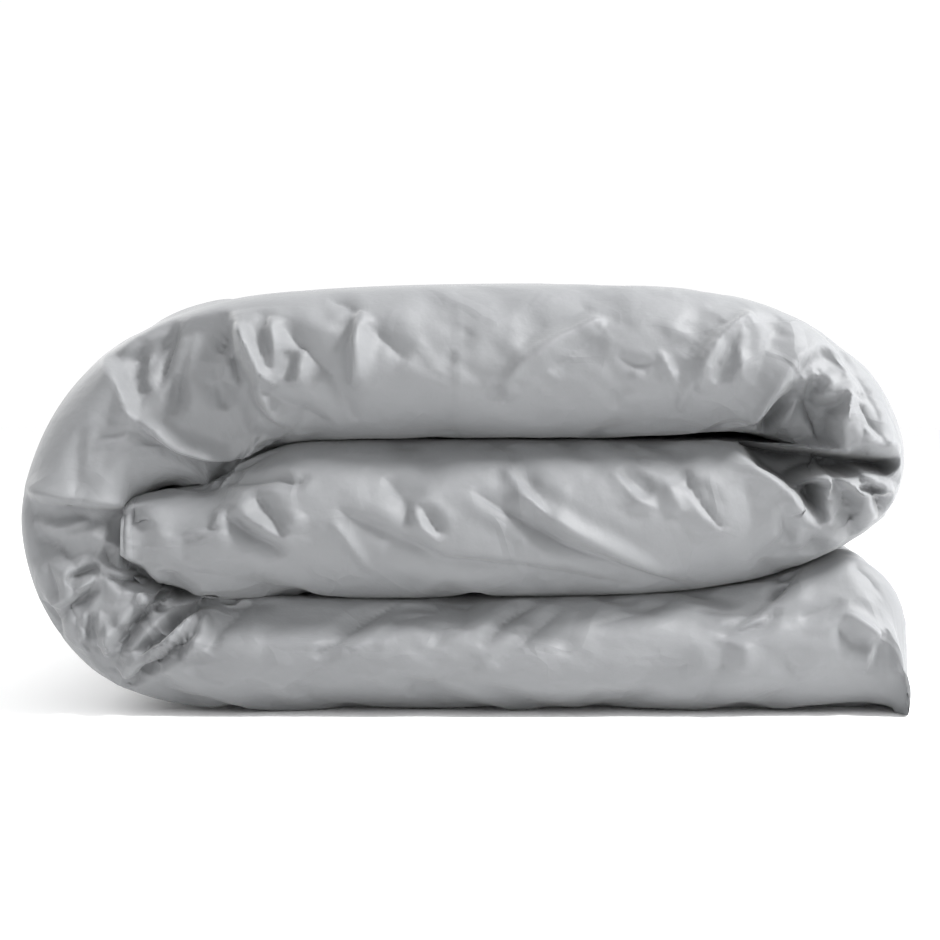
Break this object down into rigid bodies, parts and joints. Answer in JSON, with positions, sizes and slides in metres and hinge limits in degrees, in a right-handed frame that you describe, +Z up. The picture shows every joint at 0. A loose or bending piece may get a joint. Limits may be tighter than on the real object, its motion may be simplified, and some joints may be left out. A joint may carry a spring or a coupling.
{
  "type": "folded duvet",
  "caption": "Covered duvet folded in three along its length and wrapped in three into a soft bundle that opens out at its outer turn.",
  "frame": {"origin": "on the ground, at the middle of the bundle's width and depth", "axes": "+X towards the free end of the bottom layer, +Y towards the side where the lengthwise fold's edges show, +Z up"},
  "size_m": [0.73, 0.7, 0.355],
  "materials": {
    "cover_fabric": "matt fine-woven cotton, mid grey",
    "insert_fabric": "matt white down-proof cotton",
    "tape": "matt white woven tape",
    "button": "satin grey"
  },
  "bodies": {
    "bottom_layer": {"cover_bottom": "cover_fabric", "insert_row_01": "insert_fabric", "insert_row_02": "insert_fabric", "care_label": "tape", "foot_loop_1": "tape", "foot_loop_2": "tape", "foot_tie_1": "tape", "foot_tie_2": "tape"},
    "outer_turn_1": {"cover_outer_turn_lower": "cover_fabric", "insert_row_03": "insert_fabric"},
    "outer_turn_2": {"cover_outer_turn_side": "cover_fabric", "insert_row_04": "insert_fabric"},
    "outer_turn_3": {"cover_outer_turn_upper": "cover_fabric", "insert_row_05": "insert_fabric"},
    "wrapped_layers": {"cover_top": "cover_fabric", "cover_inner_turn_upper": "cover_fabric", "cover_inner_turn_lower": "cover_fabric", "cover_middle": "cover_fabric", "insert_row_06": "insert_fabric", "insert_row_07": "insert_fabric", "insert_row_08": "insert_fabric", "insert_row_09": "insert_fabric", "insert_row_10": "insert_fabric", "insert_row_11": "insert_fabric", "placket": "cover_fabric", "button_1": "button", "button_2": "button", "button_3": "button", "button_4": "button", "button_5": "button", "head_loop_1": "tape", "head_loop_2": "tape", "head_tie_1": "tape", "head_tie_2": "tape"}
  },
  "joints": [
    {"name": "unfold_1", "type": "hinge", "parent": "bottom_layer", "child": "outer_turn_1", "pos_m": [-0.2416, 0, 0.02341], "axis": [0, -1, 0], "range_deg": [0, 45]},
    {"name": "unfold_2", "type": "hinge", "parent": "outer_turn_1", "child": "outer_turn_2", "pos_m": [-0.35466, 0, 0.12648], "axis": [0, -1, 0], "range_deg": [0, 45]},
    {"name": "unfold_3", "type": "hinge", "parent": "outer_turn_2", "child": "outer_turn_3", "pos_m": [-0.35466, 0, 0.22852], "axis": [0, -1, 0], "range_deg": [0, 45]},
    {"name": "unfold_4", "type": "hinge", "parent": "outer_turn_3", "child": "wrapped_layers", "pos_m": [-0.2416, 0, 0.33159], "axis": [0, -1, 0], "range_deg": [0, 45]}
  ],
  "couplings": [
    {"joint": "unfold_2", "follows": "unfold_1", "ratio": 1},
    {"joint": "unfold_3", "follows": "unfold_1", "ratio": 1},
    {"joint": "unfold_4", "follows": "unfold_1", "ratio": 1}
  ]
}
